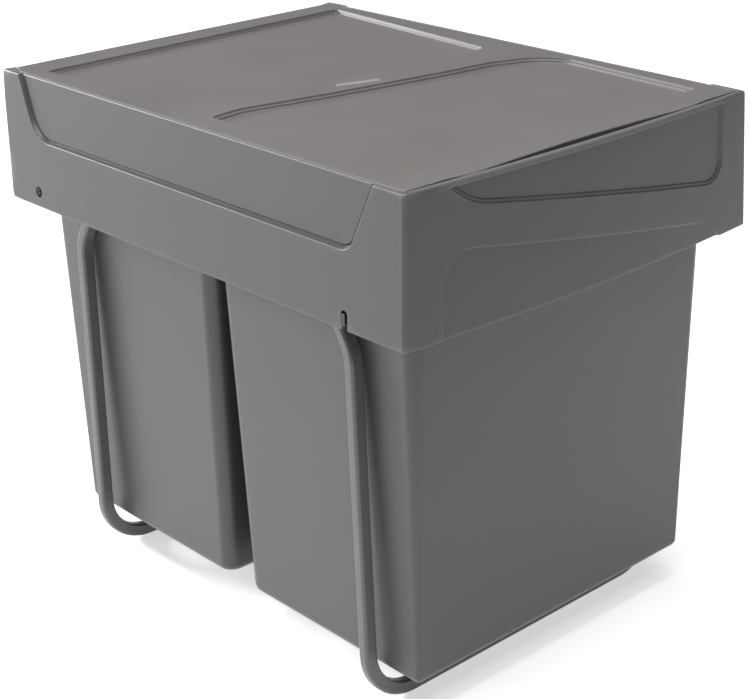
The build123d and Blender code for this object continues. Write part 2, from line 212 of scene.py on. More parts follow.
def border_loops(f):
    nxt = {}
    half = set()
    for t in f:
        for i in range(3):
            half.add((int(t[i]), int(t[(i + 1) % 3])))
    for a, b in half:
        if (b, a) not in half:
            nxt[a] = b
    loops = []
    while nxt:
        start = next(iter(nxt))
        loop, a = [start], nxt.pop(start)
        while a != start and a in nxt:
            loop.append(a)
            a = nxt.pop(a)
        loops.append(loop)
    return loops


# ------------------------------------------------------------------ mesh assembly
class Shell:
    def __init__(self):
        self.co, self.fa = [], []

    def add(self, pts, faces):
        s = len(self.co)
        self.co.extend(np.asarray(pts, float).tolist())
        self.fa.extend([[s + int(i) for i in f] for f in faces])
        return s

    def make(self, name, material, body, weld=True, sharp=50.0):
        co = np.array(self.co)
        key = np.round(co, 3) if weld else None
        if weld:
            _, first, back = np.unique(key, axis=0, return_index=True, return_inverse=True)
            back = back.reshape(-1)
            co = co[first]
            faces, seen = [], set()
            for f in self.fa:
                g = []
                for i in f:
                    j = int(back[i])
                    if j not in g:
                        g.append(j)
                k = tuple(sorted(g))
                if len(g) > 2 and k not in seen:
                    seen.add(k)
                    faces.append(g)
        else:
            faces = self.fa
        me = bpy.data.meshes.new(name)
        me.from_pydata((co * 0.001).tolist(), [], faces)
        me.validate()
        me.polygons.foreach_set("use_smooth", [True] * len(me.polygons))
        me.update()
        ob = bpy.data.objects.new(name, me)
        bpy.context.scene.collection.objects.link(ob)
        me.materials.append(material)
        me.set_sharp_from_angle(angle=math.radians(sharp))
        w = ob.modifiers.new("weighted", "WEIGHTED_NORMAL")
        w.keep_sharp = True
        w.weight = 60
        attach(ob, body)
        return ob


def rows_between(shell, rows, closed=True):
    """Quads between successive rows of points; rows is a list of (n, 3) arrays."""
    n = len(rows[0])
    s = shell.add(np.vstack(rows), [])
    fa = []
    for k in range(len(rows) - 1):
        for i in range(n if closed else n - 1):
            j = (i + 1) % n
            fa.append([s + k * n + j, s + k * n + i, s + (k + 1) * n + i, s + (k + 1) * n + j])
    shell.fa.extend(fa)


# ------------------------------------------------------------------ materials
def nodes_of(name):
    m = bpy.data.materials.new(name)
    m.use_nodes = True
    nt = m.node_tree
    nt.nodes.clear()
    out = nt.nodes.new("ShaderNodeOutputMaterial")
    bsdf = nt.nodes.new("ShaderNodeBsdfPrincipled")
    nt.links.new(bsdf.outputs[0], out.inputs[0])
    return m, nt, bsdf


def srgb(r, g, b):
    return tuple(((c / 255 + 0.055) / 1.055) ** 2.4 if c > 10 else c / 255 / 12.92 for c in (r, g, b)) + (1.0,)


def finish_material(name, colour, spread, rough, rough_spread, grain, grain_scale, metal=0.0, painted_edge_highlight=0.0, spec=0.5, streak=None, bump_dist=0.0002):
    """Procedural finish: cloudy colour variation, varied roughness, fine grain, and a painted highlight that pales the
    colour where edges turn.
    """
    m, nt, bsdf = nodes_of(name)
    N, L = nt.nodes.new, nt.links.new
    co = N("ShaderNodeTexCoord")
    cloud = N("ShaderNodeTexNoise")
    cloud.inputs["Scale"].default_value = 9.0
    cloud.inputs["Detail"].default_value = 5.0
    cloud.inputs["Roughness"].default_value = 0.6
    L(co.outputs["Object"], cloud.inputs["Vector"])
    ramp = N("ShaderNodeValToRGB")
    c = np.array(colour[:3])
    ramp.color_ramp.elements[0].position, ramp.color_ramp.elements[1].position = 0.3, 0.7
    ramp.color_ramp.elements[0].color = tuple(c * (1 - spread)) + (1,)
    ramp.color_ramp.elements[1].color = tuple(c * (1 + spread)) + (1,)
    L(cloud.outputs["Fac"], ramp.inputs["Fac"])
    fine = N("ShaderNodeTexNoise")
    fine.inputs["Scale"].default_value = grain_scale
    fine.inputs["Detail"].default_value = 3.0
    fine.inputs["Roughness"].default_value = 0.65
    if streak:
        mp = N("ShaderNodeMapping")
        mp.inputs["Scale"].default_value = streak
        L(co.outputs["Object"], mp.inputs["Vector"])
        L(mp.outputs["Vector"], fine.inputs["Vector"])
    else:
        L(co.outputs["Object"], fine.inputs["Vector"])
    # grain also speckles the colour a little
    speck = N("ShaderNodeMix")
    speck.data_type = "RGBA"
    speck.blend_type = "MULTIPLY"
    speck.inputs["Factor"].default_value = 0.35
    gr = N("ShaderNodeMapRange")
    gr.inputs["From Min"].default_value, gr.inputs["From Max"].default_value = 0.3, 0.7
    gr.inputs["To Min"].default_value, gr.inputs["To Max"].default_value = 0.9, 1.1
    L(fine.outputs["Fac"], gr.inputs["Value"])
    L(ramp.outputs["Color"], speck.inputs["A"])
    L(gr.outputs["Result"], speck.inputs["B"])
    colour_out = speck.outputs["Result"]
    # painted highlight: convex edges, found by pointiness, get a paler base colour in place of real edge highlights
    if painted_edge_highlight:
        geo = N("ShaderNodeNewGeometry")
        mr = N("ShaderNodeMapRange")
        mr.inputs["From Min"].default_value, mr.inputs["From Max"].default_value = 0.505, 0.545
        mr.inputs["To Min"].default_value, mr.inputs["To Max"].default_value = 0.0, painted_edge_highlight
        L(geo.outputs["Pointiness"], mr.inputs["Value"])
        edge_highlight_mix = N("ShaderNodeMix")
        edge_highlight_mix.data_type = "RGBA"
        L(mr.outputs["Result"], edge_highlight_mix.inputs["Factor"])
        L(colour_out, edge_highlight_mix.inputs["A"])
        edge_highlight_mix.inputs["B"].default_value = tuple(np.minimum(1, c * 2.2 + 0.03)) + (1,)
        colour_out = edge_highlight_mix.outputs["Result"]
    L(colour_out, bsdf.inputs["Base Color"])
    rr = N("ShaderNodeMapRange")
    rr.inputs["From Min"].default_value, rr.inputs["From Max"].default_value = 0.3, 0.7
    rr.inputs["To Min"].default_value, rr.inputs["To Max"].default_value = rough - rough_spread, rough + rough_spread
    L(cloud.outputs["Fac"], rr.inputs["Value"])
    L(rr.outputs["Result"], bsdf.inputs["Roughness"])
    bump = N("ShaderNodeBump")
    bump.inputs["Strength"].default_value = grain
    bump.inputs["Distance"].default_value = bump_dist
    L(fine.outputs["Fac"], bump.inputs["Height"])
    L(bump.outputs["Normal"], bsdf.inputs["Normal"])
    bsdf.inputs["Metallic"].default_value = metal
    bsdf.inputs["Specular IOR Level"].default_value = spec
    return m


# the surround and lid get painted highlight lines on their convex edges
M_SURROUND = finish_material("surround_moulding", srgb(67, 67, 68), 0.03, 0.44, 0.03, 0.22, 1500.0, painted_edge_highlight=0.8)
M_LID = finish_material("lid_moulding", srgb(96, 93, 92), 0.03, 0.50, 0.03, 0.25, 1400.0, painted_edge_highlight=0.12)
M_BADGE = finish_material("badge_plate", srgb(128, 125, 124), 0.02, 0.42, 0.02, 0.1, 1800.0)
M_BIN = finish_material("bin_moulding", srgb(67, 66, 68), 0.03, 0.38, 0.03, 0.12, 1700.0)
M_TUBE = finish_material("tube_powder_coat", srgb(87, 87, 87), 0.03, 0.34, 0.04, 0.35, 1300.0)
M_ZINC = finish_material("zinc_plate", (0.60, 0.61, 0.63, 1), 0.05, 0.30, 0.06, 0.15, 900.0, metal=1.0, streak=(1.0, 0.03, 1.0))
M_BALL = finish_material("ball_steel", (0.75, 0.75, 0.77, 1), 0.02, 0.12, 0.03, 0.05, 2000.0, metal=1.0)
M_FAST = finish_material("fastener_steel", (0.40, 0.40, 0.42, 1), 0.05, 0.33, 0.06, 0.15, 1500.0, metal=1.0)
M_SCREW = finish_material("screw_black_zinc", (0.006, 0.006, 0.007, 1), 0.05, 0.42, 0.05, 0.1, 1500.0, spec=0.3)
M_HOOK = finish_material("hook_black_coat", (0.016, 0.016, 0.018, 1), 0.05, 0.36, 0.05, 0.2, 1500.0)
M_JOINER = finish_material("joiner_nylon", (0.03, 0.03, 0.03, 1), 0.05, 0.5, 0.05, 0.2, 1500.0)
M_RUBBER = finish_material("buffer_rubber", (0.02, 0.02, 0.02, 1), 0.06, 0.75, 0.06, 0.35, 900.0)

for n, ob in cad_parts.items():
    if n.startswith("side_tube") or n.endswith("floor_bar"):
        mat = M_TUBE
    elif "balls" in n:
        mat = M_BALL
    elif "buffer" in n:
        mat = M_RUBBER
    elif n == "bar_joiners":
        mat = M_JOINER
    elif n.startswith("front_hook"):
        mat = M_HOOK
    elif n in ("runner_rivets", "lid_pin_left", "lid_pin_right"):
        mat = M_FAST
    else:
        mat = M_ZINC
    ob.data.materials.clear()
    ob.data.materials.append(mat)


# ------------------------------------------------------------------ surround
def lz(z, a, b):
    return a + (b - a) * (z - Z_BOT) / HEIGHT


def section(z):
    """Measures of the plan outline at height z."""
    hw, yf, yr, sag = lz(z, HW_BOT, HW_TOP), lz(z, YF_BOT, YF_TOP), lz(z, YR_BOT, YR_TOP), lz(z, SAG_BOT, SAG_TOP)
    rad = (hw ** 2 + sag ** 2) / (2 * sag)
    cy = yf - sag + rad
    ccy = cy - np.sqrt((rad - R_FRONT) ** 2 - (hw - R_FRONT) ** 2)
    phi = np.arcsin((hw - R_FRONT) / (rad - R_FRONT))
    return hw, yr, rad, cy, ccy, phi


_hw, _yr, _rad, _cy, _ccy, _phi = section((Z_BOT + Z_TOP) / 2)
SIDE_LEN = (_yr - R_REAR) - _ccy
FRONT_HALF = _rad * math.sin(_phi)
SEG = [SIDE_LEN, R_FRONT * (math.pi / 2 - _phi), 2 * FRONT_HALF, R_FRONT * (math.pi / 2 - _phi), SIDE_LEN,
       R_REAR * math.pi / 2, 2 * (_hw - R_REAR), R_REAR * math.pi / 2]
U = np.concatenate([[0], np.cumsum(SEG)])
U_TOTAL = U[-1]


def u_left(y):
    return (_yr - R_REAR - y)


def u_right(y):
    return U[4] + (y - _ccy)


def u_front(x):
    return U[2] + FRONT_HALF + x


def u_rear(x):
    return U[6] + (_hw - R_REAR) - x


def outline(u, z):
    """Outer plan point and outward normal at perimeter position u and height z."""
    u = np.asarray(u, float)
    z = np.asarray(z, float) + 0 * u
    hw, yr, rad, cy, ccy, phi = section(z)
    s = np.clip(np.searchsorted(U, u, side="right") - 1, 0, 7)
    t = (u - U[s]) / np.array(SEG)[s]
    x, y, nx, ny = (np.zeros(u.shape) for _ in range(4))

    def put(k, px, py, qx, qy):
        m = s == k
        for a, b in ((x, px), (y, py), (nx, qx), (ny, qy)):
            a[m] = (b + 0 * u)[m]

    y0 = yr - R_REAR
    put(0, -hw, y0 + (ccy - y0) * t, -1, 0)
    a = math.pi + (math.pi / 2 - phi) * t
    put(1, -(hw - R_FRONT) + R_FRONT * np.cos(a), ccy + R_FRONT * np.sin(a), np.cos(a), np.sin(a))
    xx = (2 * t - 1) * rad * np.sin(phi)
    f = np.arcsin(np.clip(xx / rad, -1, 1))
    put(2, xx, cy - rad * np.cos(f), np.sin(f), -np.cos(f))
    a = 1.5 * math.pi + phi + (math.pi / 2 - phi) * t
    put(3, (hw - R_FRONT) + R_FRONT * np.cos(a), ccy + R_FRONT * np.sin(a), np.cos(a), np.sin(a))
    put(4, hw, ccy + (y0 - ccy) * t, 1, 0)
    a = math.pi / 2 * t
    put(5, hw - R_REAR + R_REAR * np.cos(a), y0 + R_REAR * np.sin(a), np.cos(a), np.sin(a))
    put(6, (hw - R_REAR) * (1 - 2 * t), yr, 0, 1)
    a = math.pi / 2 + math.pi / 2 * t
    put(7, -(hw - R_REAR) + R_REAR * np.cos(a), y0 + R_REAR * np.sin(a), np.cos(a), np.sin(a))
    return x, y, nx, ny


V_TOP, V_LOW, V_DIP = HEIGHT - 1.2, 0.8, 457.0 - Z_BOT - 0.8

# a groove with rounded shoulders runs between the wall and the recessed panel
SIDE_PROFILE = [(-4, 0), (0, 0), (1.5, 4.2), (2.1, 4.2), (3.5, 3.2), (10, 3.2)]
SIDE_RADII = [0, 1.1, 0.3, 0.3, 1.3, 0]
SIDE_PATH = [(243.6, V_TOP), (222.8, 61.8), (-200.6, 61.8), (-226.7, V_TOP)]
FRONT_PROFILE = [(-4, 0), (0, 0), (1.1, 0.9), (2.7, 1.1), (3.8, 2.0), (10, 2.0)]
GRIP_PROFILE = [(-4, 0), (0, 0), (1.1, 2.2), (1.9, 2.6), (10, 2.6)]
UPPER_PATH = [(-160.0, V_TOP), (-131.0, 97.0), (161.5, 45.4), (163.0, V_TOP)]
GRIP_PATH = [(160.0, V_LOW), (134.0, 18.8), (-160.0, 70.2), (-161.0, V_LOW)]
LIP_T = np.array([0.0, 0.15, 0.4, 0.9, 1.3, 1.6])
LIP_D = np.array([0.0, 0.12, 0.7, 2.9, 3.5, 3.6])
LIP_Z = Z_TOP - 3.4


def as_u(path, fn):
    return [(fn(a), b) for a, b in path]


left_recess = Relief(round_path(as_u(SIDE_PATH, u_left), [0, 30, 17, 0]), SIDE_PROFILE, clip=V_TOP, radii=SIDE_RADII)
right_recess = Relief(round_path(as_u(SIDE_PATH[::-1], u_right), [0, 17, 30, 0]), SIDE_PROFILE, clip=V_TOP, radii=SIDE_RADII)
upper_recess = Relief(round_path(as_u(UPPER_PATH, u_front), [0, 62, 20, 0]), FRONT_PROFILE, clip=V_TOP, radii=[0, 0.5, 0.4, 0.5, 0.5, 0])
grip_recess = Relief(round_path(as_u(GRIP_PATH, u_front), [0, 42, 25, 0]), GRIP_PROFILE, clip=V_LOW, radii=[0, 0.8, 0.4, 0.6, 0])


def circle(u, v, r, n=28):
    a = np.arange(n) * 2 * math.pi / n
    return np.stack([u + r * np.cos(a), v + r * np.sin(a)], 1)


BORE_PROFILE = [(-1, 0), (0, 0), (0.3, 1.9), (2, 1.9)]
bores = [Relief(circle(fn(SCREW_Y), SCREW_Z - Z_BOT, 5.0), BORE_PROFILE, closed=True, radii=[0, 0.15, 0.1, 0]) for fn in (u_left, u_right)]
RELIEFS = [left_recess, right_recess, upper_recess, grip_recess] + bores


def relief_depth(q):
    d = np.zeros(len(q))
    z = q[:, 1] + Z_BOT
    lip = np.interp(LIP_Z - z, LIP_T, LIP_D)
    for r in RELIEFS:
        lo, hi = r.path[:, 0].min() - 3, r.path[:, 0].max() + 3
        m = (q[:, 0] > lo) & (q[:, 0] < hi)
        if m.any():
            e = r.depth(q[m])
            if r is upper_recess:
                e = np.minimum(e, lip[m])
            d[m] = np.maximum(d[m], e)
    return d


def smooth(t):
    t = np.clip(t, 0, 1)
    return t * t * (3 - 2 * t)


def top_radius(u):
    """Rounding of the top edge along the perimeter."""
    front = smooth((u - U[1] + 2) / 4) * smooth((U[4] + 2 - u) / 4)
    rear = np.maximum(smooth((u - U[4] - SIDE_LEN + 12) / 12), smooth((12 - u) / 12))
    return 1.2 + 1.0 * front + 1.3 * rear


def lean(ny, z):
    """The rear wall curls forwards near the top."""
    return 4.2 * smooth((z - 442.0) / 28.0) * np.clip(ny, 0, 1)


def skin_point(u, v, relief, extra=0.0):
    z = v + Z_BOT
    x, y, nx, ny = outline(u, z)
    r = top_radius(u)
    k = np.clip(v - (HEIGHT - r), 0, r)
    d = relief + (r - np.sqrt(np.maximum(0, r * r - k * k))) + extra
    # the skirt's lower edge is rounded upwards at the rear corners
    e = np.maximum(0, 7.0 - np.abs(y - section(z)[1])) * (np.abs(nx) > 0.99) + np.maximum(0, 7.0 - np.abs(np.abs(x) - section(z)[0])) * (ny > 0.7)
    e = np.where((np.abs(nx) <= 0.99) & (ny <= 0.7) & (ny > 0.01), 6.0, e)
    rise = (6.5 - np.sqrt(np.maximum(0, 6.5 ** 2 - np.minimum(e, 6.5) ** 2))) * np.clip(1 - v / 16.0, 0, 1)
    return np.stack([x - nx * d, y - ny * d - lean(ny, z), z + rise], 1), np.stack([nx, ny], 1)


def columns():
    cols = []
    for k, n in enumerate([62, 6, 46, 6, 62, 9, 42, 9]):
        cols.extend(U[k] + (U[k + 1] - U[k]) * np.arange(n) / n)
    return np.array(cols + [U_TOTAL])


COLS = columns()
ROWS = np.concatenate([[V_LOW, 3.5], np.arange(10, 105, 8.5), [107.5, 111.5, 113.2, 114.4, 115.4, V_TOP]])
ROWS = np.unique(ROWS)

hook_l, hook_r = u_left(HOOK_Y), u_right(HOOK_Y)


def notch(uc, hw, top, n=9):
    a = np.linspace(math.pi, 0, n)
    arc = [(uc + hw * math.cos(t), top + hw * math.sin(t)) for t in a]
    return [(uc - hw, V_LOW), (uc - hw, V_LOW + (top - V_LOW) / 2)] + arc + [(uc + hw, V_LOW + (top - V_LOW) / 2), (uc + hw, V_LOW)]


def box_notch(ua, ub, top):
    us = [c for c in COLS if ua + 2 < c < ub - 2]
    vs = np.linspace(V_LOW, top, 5)
    return [(ua, v) for v in vs[:-1]] + [(ua, top)] + [(c, top) for c in us] + [(ub, top)] + [(ub, v) for v in vs[:-1][::-1]]


gap_r = (U[5] + R_REAR * 0.92 - 0.8, u_rear(170.0) + 0.8)
gap_l = (u_rear(-170.0) - 0.8, U[7] + R_REAR * (math.pi / 2 - 0.92) + 0.8)
NOTCHES = [(hook_l - 4.2, hook_l + 4.2, notch(hook_l, 4.2, 361.4 - Z_BOT)),
           (hook_r - 4.2, hook_r + 4.2, notch(hook_r, 4.2, 361.4 - Z_BOT)),
           (gap_r[0], gap_r[1], box_notch(gap_r[0], gap_r[1], 389.0 - Z_BOT + 0.8)),
           (gap_l[0], gap_l[1], box_notch(gap_l[0], gap_l[1], 389.0 - Z_BOT + 0.8))]
DIP = (u_rear(184.2) - 0.8, u_rear(-184.2) + 0.8)


def ends_at(clip, rels):
    out = []
    for r in rels:
        for q in r.lines():
            out += [q[0, 0], q[-1, 0]]
    return out


def along(vals, bands, extra):
    """Perimeter positions of a border row: the columns outside the relief bands, and the relief line ends."""
    keep = [c for c in vals if all(not (a - 1.5 < c < b + 1.5) for a, b in bands)]
    return sorted(set(np.round(keep + list(extra), 5)))


def end_bands(rels):
    out = []
    for r in rels:
        qs = list(r.lines())
        for e in (0, -1):
            us = [q[e, 0] for q in qs]
            out.append((min(us), max(us)))
    return out


low_rels, top_rels = [grip_recess], [left_recess, right_recess]
low_us = along(COLS, end_bands(low_rels) + [(n[0], n[1]) for n in NOTCHES], ends_at(V_LOW, low_rels))
domain = []
todo = sorted(NOTCHES)
for uu in low_us:
    while todo and uu > todo[0][1]:
        domain.extend(todo.pop(0)[2])
    domain.append((uu, V_LOW))
domain.extend((U_TOTAL, v) for v in ROWS[1:-1])
top_us = along(COLS, end_bands(top_rels) + [(DIP[0] - 1, DIP[0] + 1), (DIP[1] - 1, DIP[1] + 1)], ends_at(V_TOP, top_rels))
top_row = []
for uu in top_us:
    if DIP[0] < uu < DIP[1]:
        top_row.append((uu, V_DIP))
    else:
        if uu > DIP[1] and top_row and top_row[-1][1] == V_DIP:
            top_row += [(DIP[1], V_DIP), (DIP[1], (V_DIP + V_TOP) / 2), (DIP[1], V_TOP)]
        top_row.append((uu, V_TOP))
        nxt = [t for t in top_us if t > uu]
        if uu < DIP[0] and nxt and nxt[0] > DIP[0]:
            top_row += [(DIP[0], V_TOP), (DIP[0], (V_DIP + V_TOP) / 2), (DIP[0], V_DIP)]
domain.extend(top_row[::-1])
domain.extend((0.0, v) for v in ROWS[1:-1][::-1])
domain = np.array(domain)

lines = []
for r in RELIEFS:
    for q in r.lines():
        if r is upper_recess:
            q = q[q[:, 1] < LIP_Z - Z_BOT + 0.4]
        lines.append((q, r.closed))
lip_us = COLS[(COLS > u_front(-176)) & (COLS < u_front(176))]
for t in LIP_T:
    lines.append((np.stack([lip_us, 0 * lip_us + LIP_Z - Z_BOT - t], 1), False))

grid = np.array([(c, r) for c in COLS for r in ROWS])
keep = np.ones(len(grid), bool)
keep &= inside(domain, grid + (1e-3, 1e-3)) & inside(domain, grid + (-1e-3, -1e-3))
for r in RELIEFS:
    s = r.signed(grid)
    near = (s > -2.0) & (s < r.t[-1] + 2.0)
    if r in bores:
        near |= s > 0
    keep &= ~near
keep &= ~((grid[:, 0] > u_front(-178)) & (grid[:, 0] < u_front(178)) & (np.abs(grid[:, 1] - (LIP_Z - Z_BOT - 0.8)) < 2.4))
for a, b, poly in NOTCHES:
    keep &= ~((grid[:, 0] > a - 1.5) & (grid[:, 0] < b + 1.5) & (grid[:, 1] < max(p[1] for p in poly) + 1.5))
keep &= ~((np.abs(grid[:, 0] - DIP[0]) < 1.0) & (grid[:, 1] > V_DIP - 1)) & ~((np.abs(grid[:, 0] - DIP[1]) < 1.0) & (grid[:, 1] > V_DIP - 1))
uv, tri = triangulate(domain, [], lines, grid[keep])

# join the seam
low_side = np.where(uv[:, 0] < 1e-3)[0]
high_side = np.where(uv[:, 0] > U_TOTAL - 1e-3)[0]
remap = np.arange(len(uv))
for h in high_side:
    j = low_side[np.argmin(np.abs(uv[low_side, 1] - uv[h, 1]))]
    remap[h] = j
tri = remap[tri]
depth = relief_depth(uv)


def skin(uvp, dep):
    return skin_point(uvp[:, 0], uvp[:, 1], dep)


outer, nrm = skin(uv, depth)
v_in = V_LOW + (uv[:, 1] - V_LOW) * (LID_SEAT_Z - Z_BOT - V_LOW) / (V_TOP - V_LOW)
inner, _ = skin_point(uv[:, 0], v_in, depth, WALL)

cover = Shell()
cover.add(outer, tri)
cover.add(inner, tri[:, ::-1])


def lip_y(x):
    return -260.2 + 6.0 * (np.minimum(np.abs(x), RIM_X) / RIM_X) ** 2


for loop in border_loops(tri):
    loop = np.array(loop)
    if len(loop) < 12:
        continue
    q = uv[loop]
    p_out, p_in = outer[loop], inner[loop]
    n2 = nrm[loop]
    du = (np.roll(q, -1, 0) - q)
    du[:, 0] = (du[:, 0] + U_TOTAL / 2) % U_TOTAL - U_TOTAL / 2
    tg = unit(du)
    tm = unit(tg + np.roll(tg, 1, 0))
    e2 = np.stack([tm[:, 1], -tm[:, 0]], 1) / np.maximum(0.5, (tm * tg).sum(1))[:, None]
    e3 = np.stack([-n2[:, 1] * e2[:, 0], n2[:, 0] * e2[:, 0], e2[:, 1]], 1)
    n3 = np.stack([n2[:, 0], n2[:, 1], 0 * n2[:, 0]], 1)
    rows = []
    r = 0.8
    for th in (22.5, 45, 67.5, 90):
        a = math.radians(th)
        rows.append(p_out + e3 * r * math.sin(a) - n3 * r * (1 - math.cos(a)))
    for th in (90, 50, 20):
        a = math.radians(th)
        rows.append(p_in + e3 * r * math.sin(a) + n3 * r * (1 - math.cos(a)))
    top = q[:, 1] > V_TOP - 1e-3
    if top.any():
        uu = q[:, 0]
        rt = top_radius(uu)
        a0 = np.arcsin(np.clip((V_TOP - (HEIGHT - rt)) / rt, 0, 1))
        dd = relief_depth(np.stack([uu, 0 * uu + V_TOP], 1))
        x0, y0, _, _ = outline(uu, 0 * uu + Z_TOP)
        _, _, tnx, tny = outline(uu, 0 * uu + Z_TOP)
        special = top & (y0 < CORNER_Y)
        for k in range(4):
            a = a0 + (math.pi / 2 - a0) * (k + 1) / 4
            vv = HEIGHT - rt + rt * np.sin(a)
            p, _ = skin_point(uu, vv, dd)
            rows[k][top] = p[top]
        ix = np.clip(x0, -RIM_X, RIM_X)
        iy = np.maximum(y0, lip_y(ix))
        out2 = unit(np.stack([np.where(np.abs(x0) > RIM_X, np.sign(x0), 0), np.where(y0 < lip_y(ix), -1.0, 0)], 1))
        a4 = np.stack([ix + 0.35 * out2[:, 0], iy + 0.35 * out2[:, 1], 0 * ix + Z_TOP], 1)
        a5 = np.stack([ix, iy, 0 * ix + Z_TOP - 0.35], 1)
        a6 = np.stack([ix, iy, 0 * ix + LID_SEAT_Z + 0.1], 1)
        for k, arr in ((4, a4), (5, a5), (6, a6)):
            rows[k][special] = arr[special]
        # solid corner tops that reach in to the ends of the hinge bead
        other = top & ~special
        cx = np.sign(x0) * 184.5
        cy = np.minimum(y0 - tny * 2.5 - lean(tny, Z_TOP), 270.0)
        for k, (dx, dz) in enumerate(((0.35, 0.0), (0.0, 0.35), (0.0, 4.0))):
            ring = np.stack([cx + np.sign(x0) * dx, cy, 0 * ix + Z_TOP - dz], 1)
            rows[4 + k][other] = ring[other]
    rows_between(cover, [p_out] + rows + [p_in])

# shelf that the bin rims hang on, following the inside of the walls
ls_u = COLS[:-1]
lw = np.stack([ls_u, 0 * ls_u + 431.5 - Z_BOT], 1)
shelf_pts, _ = skin_point(ls_u, lw[:, 1], relief_depth(lw), WALL - 0.5)
shelf_loop = shelf_pts[:, :2]


def rr_loop(hw, hd, yc, r, n=7, xc=0.0):
    """Rounded rectangle, anticlockwise, n points in each corner."""
    out = []
    for cx, cy, a0 in ((hw - r, hd - r, 0), (-hw + r, hd - r, 90), (-hw + r, -hd + r, 180), (hw - r, -hd + r, 270)):
        for k in range(n):
            a = math.radians(a0 + 90 * k / (n - 1))
            out.append((xc + cx + r * math.cos(a), yc + cy + r * math.sin(a)))
    return np.array(out)


BIN_Y = {"front_bin": -121.4, "rear_bin": 127.75}
holes = [rr_loop(172.7, 119.9, yc, 13) for yc in BIN_Y.values()]
sv, st = triangulate(shelf_loop, holes, [], np.zeros((0, 2)))
for z, rev in ((433.0, False), (430.0, True)):
    cover.add(np.column_stack([sv, np.full(len(sv), z)]), st[:, ::-1] if rev else st)
for loop in border_loops(st):
    p = sv[np.array(loop)]
    if np.abs(p[:, 0]).max() > 185:
        continue
    rows_between(cover, [np.column_stack([p, np.full(len(p), z)]) for z in (433.0, 430.0)])
# knuckle blocks below the corner tops
for s in (-1, 1):
    prof = [(262.6, 441.5), (263.6, 440.3), (269.6, 440.3), (270.6, 441.5), (270.6, 462.0), (269.6, 466.7), (263.6, 466.7), (262.6, 464.5)]
    xs = [184.6, 191.8]
    pts = [(s * x, y, z) for x in xs for y, z in prof]
    n = len(prof)
    fa = [list(range(n)), list(range(2 * n - 1, n - 1, -1))]
    fa += [[(i + 1) % n, i, n + i, n + (i + 1) % n] for i in range(n)]
    if s > 0:
        fa = [f[::-1] for f in fa]
    cover.add(pts, fa)
cover_ob = cover.make("surround_shell", M_SURROUND, "carriage")
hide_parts("cover_frame")


# ------------------------------------------------------------------ lid
def front_edge(x):
    a = np.abs(np.asarray(x, float))
    y = -252.6 - 3.5 * smooth((152 - a) / 30)
    return y + 4.6 * np.clip(1 - (a / 120) ** 2, 0, 1) ** 1.4


EDGE = 1.0
xs = np.concatenate([np.linspace(-LID_X + EDGE + 2.0, LID_X - EDGE - 2.0, 84)])
lid_dom = [(x, float(front_edge(x)) + EDGE) for x in xs]
cr = LID_X - EDGE
lid_dom += [(cr - 0.6, -252.6 + EDGE + 0.5), (cr, -252.6 + EDGE + 1.6)]
lid_dom += [(cr, y) for y in np.arange(-245, 255, 7.5)] + [(cr, 258.4), (cr - 0.6, 259.0), (182.9, 259.0), (182.9, 263.0), (182.9, 267.0)]
lid_dom += [(x, 267.0) for x in np.linspace(176, -176, 46)]
lid_dom += [(-182.9, 267.0), (-182.9, 263.0), (-182.9, 259.0), (-cr + 0.6, 259.0), (-cr, 258.4)] + [(-cr, y) for y in np.arange(-245, 255, 7.5)[::-1]]
lid_dom += [(-cr, -252.6 + EDGE + 1.6), (-cr + 0.6, -252.6 + EDGE + 0.5)]
lid_dom = np.array(lid_dom)

REAR_FIELD = [(-171.0, 236.0), (-168.0, 44.0), (-60.0, 24.0), (110.0, 6.0), (157.5, 10.5), (176.0, 242.5)]
FRONT_FIELD = [(-163.0, 4.0), (-174.0, -226.0), (171.0, -224.0), (178.0, -70.0), (160.0, -46.0), (120.0, -31.0),
               (75.0, -27.0), (-45.0, -9.0), (-130.0, 8.0)]
LID_PROFILE = [(-3, 0), (0, 0), (0.7, 1.9), (3.0, 2.1), (3.7, 4.0), (8, 4.0)]
rear_field = Relief(round_path(REAR_FIELD, [5, 10, 60, 60, 9, 4], closed=True, step=12), [(-3, 0), (0, 0), (1.3, 3.8), (6, 3.8)], closed=True, radii=[0, 0.6, 0.7, 0])
front_field = Relief(round_path(FRONT_FIELD, [6, 6, 3, 30, 30, 60, 120, 120, 14], closed=True, step=12), LID_PROFILE, closed=True, radii=[0, 0.5, 0.5, 0.6, 0.6, 0])
BADGE_C, BADGE_A = np.array([-8.5, -1.0]), math.radians(-18.2)


def slot_loop(half, r, n=9):
    pts = []
    for c, a0 in ((half - r, -90), (-half + r, 90)):
        for k in range(n):
            a = math.radians(a0 + 180 * k / (n - 1))
            pts.append((c + r * math.cos(a), r * math.sin(a)))
    rot = np.array([[math.cos(BADGE_A), math.sin(BADGE_A)], [-math.sin(BADGE_A), math.cos(BADGE_A)]])
    return np.array(pts) @ rot + BADGE_C


pocket = Relief(slot_loop(21.3, 4.3), [(-1, 0), (0, 0), (0.15, 0.8), (1, 0.8)], closed=True, radii=[0, 0.08, 0.05, 0])
LID_RELIEFS = [rear_field, front_field, pocket]


def lid_depth(q):
    d = np.zeros(len(q))
    for r in LID_RELIEFS:
        d = np.maximum(d, r.depth(q))
    return d


